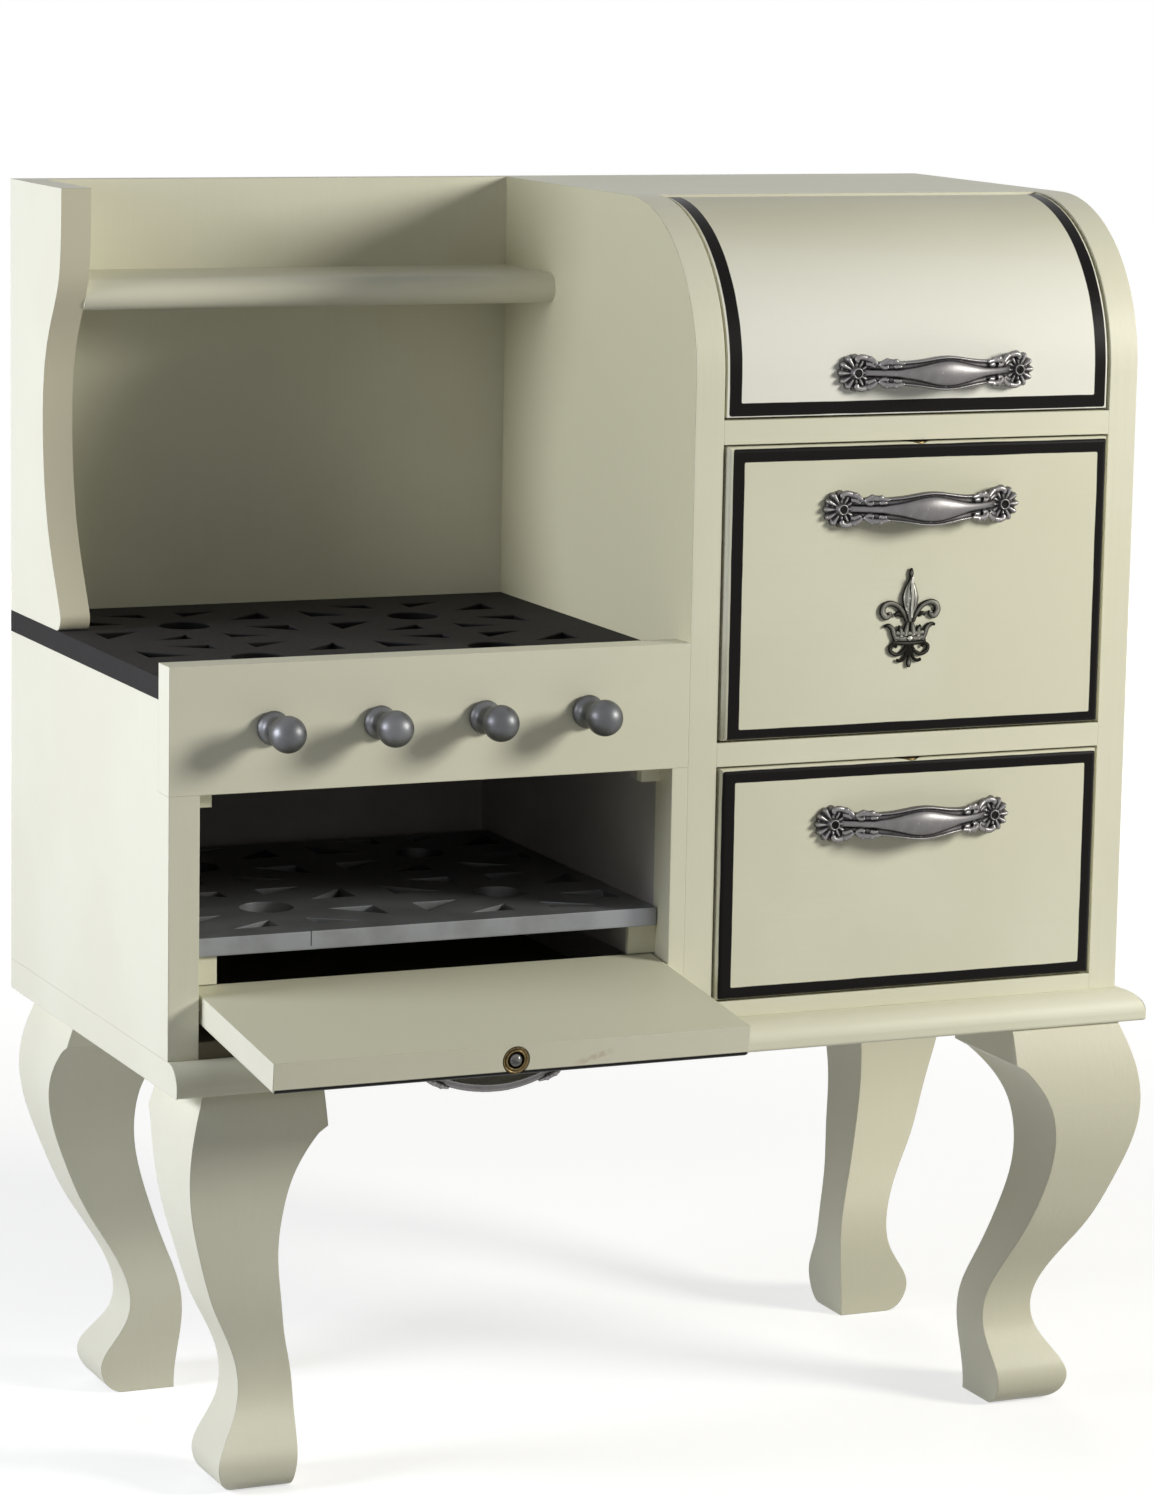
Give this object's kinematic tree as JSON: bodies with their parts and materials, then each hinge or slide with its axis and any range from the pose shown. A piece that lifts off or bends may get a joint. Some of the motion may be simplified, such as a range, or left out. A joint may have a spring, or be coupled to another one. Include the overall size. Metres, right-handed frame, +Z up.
{
  "type": "doll stove",
  "caption": "Free-standing wooden doll's kitchen range on cabriole legs, with a grilled hob under a hood, an open drop-door oven and a cabinet with drop doors and a roll-up door.",
  "frame": {"origin": "on the floor, under the middle of the whole part's box with the oven door open", "axes": "+Z up, -Y out of the front, +X to the viewer's right"},
  "size_m": [0.374, 0.2492, 0.4435],
  "materials": {
    "cream_paint": "satin cream paint on wood, black painted borders on the door faces",
    "charcoal_paint": "matte charcoal paint on wood",
    "silver_paint": "silver grey paint on wood",
    "bare_wood": "bare turned dowel",
    "pewter": "cast, antiqued pewter colour with worn highlights",
    "brass": "aged brass",
    "steel": "plain steel"
  },
  "bodies": {
    "carcase": {"back_panel": "cream_paint", "base_board": "cream_paint", "cabinet_door_stops": "cream_paint", "cabinet_floor": "cream_paint", "cabinet_top": "cream_paint", "catch_strikes": "brass", "control_board": "cream_paint", "divider": "cream_paint", "hob_plate": "charcoal_paint", "hood_shelf": "cream_paint", "hood_side": "cream_paint", "left_side": "cream_paint", "leg_back_left": "cream_paint", "leg_back_right": "cream_paint", "leg_dowels": "bare_wood", "leg_front_left": "cream_paint", "leg_front_right": "cream_paint", "lower_shelf": "cream_paint", "oven_ceiling": "charcoal_paint", "oven_door_stops": "cream_paint", "oven_floor": "charcoal_paint", "oven_liner": "cream_paint", "rack_runners": "cream_paint", "right_side": "cream_paint", "upper_shelf": "cream_paint"},
    "oven_rack": {"oven_rack": "silver_paint"},
    "oven_door": {"oven_door": "cream_paint", "oven_door_pins": "steel", "oven_door_handle": "pewter", "oven_handle_screws": "steel", "oven_catch_cup": "brass", "oven_catch_spring": "steel"},
    "oven_ball": {"oven_catch_ball": "steel"},
    "middle_door": {"middle_door": "cream_paint", "middle_door_pins": "steel", "middle_door_handle": "pewter", "middle_handle_screws": "steel", "middle_catch_cup": "brass", "middle_catch_spring": "steel", "middle_door_emblem": "pewter"},
    "middle_ball": {"middle_catch_ball": "steel"},
    "lower_door": {"lower_door": "cream_paint", "lower_door_pins": "steel", "lower_door_handle": "pewter", "lower_handle_screws": "steel", "lower_catch_cup": "brass", "lower_catch_spring": "steel"},
    "lower_ball": {"lower_catch_ball": "steel"},
    "roll_door": {"roll_door": "cream_paint", "roll_door_pins": "steel", "roll_door_handle": "pewter", "roll_handle_screws": "steel"},
    "knob_1": {"knob_1": "silver_paint", "knob_screw_1": "steel"},
    "knob_2": {"knob_2": "silver_paint", "knob_screw_2": "steel"},
    "knob_3": {"knob_3": "silver_paint", "knob_screw_3": "steel"},
    "knob_4": {"knob_4": "silver_paint", "knob_screw_4": "steel"}
  },
  "joints": [
    {"name": "oven_door_hinge", "type": "hinge", "parent": "carcase", "child": "oven_door", "pos_m": [-0.0888, -0.04971, 0.1729], "axis": [1, 0, 0], "range_deg": [-96, 0]},
    {"name": "middle_door_hinge", "type": "hinge", "parent": "carcase", "child": "middle_door", "pos_m": [0.0917, -0.04971, 0.2659], "axis": [1, 0, 0], "range_deg": [0, 96]},
    {"name": "lower_door_hinge", "type": "hinge", "parent": "carcase", "child": "lower_door", "pos_m": [0.0917, -0.04971, 0.1729], "axis": [1, 0, 0], "range_deg": [0, 96]},
    {"name": "roll_door_hinge", "type": "hinge", "parent": "carcase", "child": "roll_door", "pos_m": [0.0917, 0.00229, 0.43832], "axis": [-1, 0, 0], "range_deg": [0, 88]},
    {"name": "oven_rack_slide", "type": "slide", "parent": "carcase", "child": "oven_rack", "axis": [0, -1, 0], "range_m": [0, 0.1]},
    {"name": "knob_1_turn", "type": "hinge", "parent": "carcase", "child": "knob_1", "pos_m": [-0.1504, -0.05321, 0.2694], "axis": [0, 1, 0], "continuous": true},
    {"name": "knob_2_turn", "type": "hinge", "parent": "carcase", "child": "knob_2", "pos_m": [-0.1118, -0.05321, 0.2694], "axis": [0, 1, 0], "continuous": true},
    {"name": "knob_3_turn", "type": "hinge", "parent": "carcase", "child": "knob_3", "pos_m": [-0.0732, -0.05321, 0.2694], "axis": [0, 1, 0], "continuous": true},
    {"name": "knob_4_turn", "type": "hinge", "parent": "carcase", "child": "knob_4", "pos_m": [-0.0346, -0.05321, 0.2694], "axis": [0, 1, 0], "continuous": true},
    {"name": "oven_ball_travel", "type": "slide", "parent": "oven_door", "child": "oven_ball", "axis": [0, -0.9945, -0.1045], "range_m": [-0.0012, 0], "stiffness_N_per_m": 300, "springref_m": 0.001},
    {"name": "middle_ball_travel", "type": "slide", "parent": "middle_door", "child": "middle_ball", "axis": [0, 0, 1], "range_m": [-0.0012, 0], "stiffness_N_per_m": 300, "springref_m": 0.001},
    {"name": "lower_ball_travel", "type": "slide", "parent": "lower_door", "child": "lower_ball", "axis": [0, 0, 1], "range_m": [-0.0012, 0], "stiffness_N_per_m": 300, "springref_m": 0.001}
  ]
}
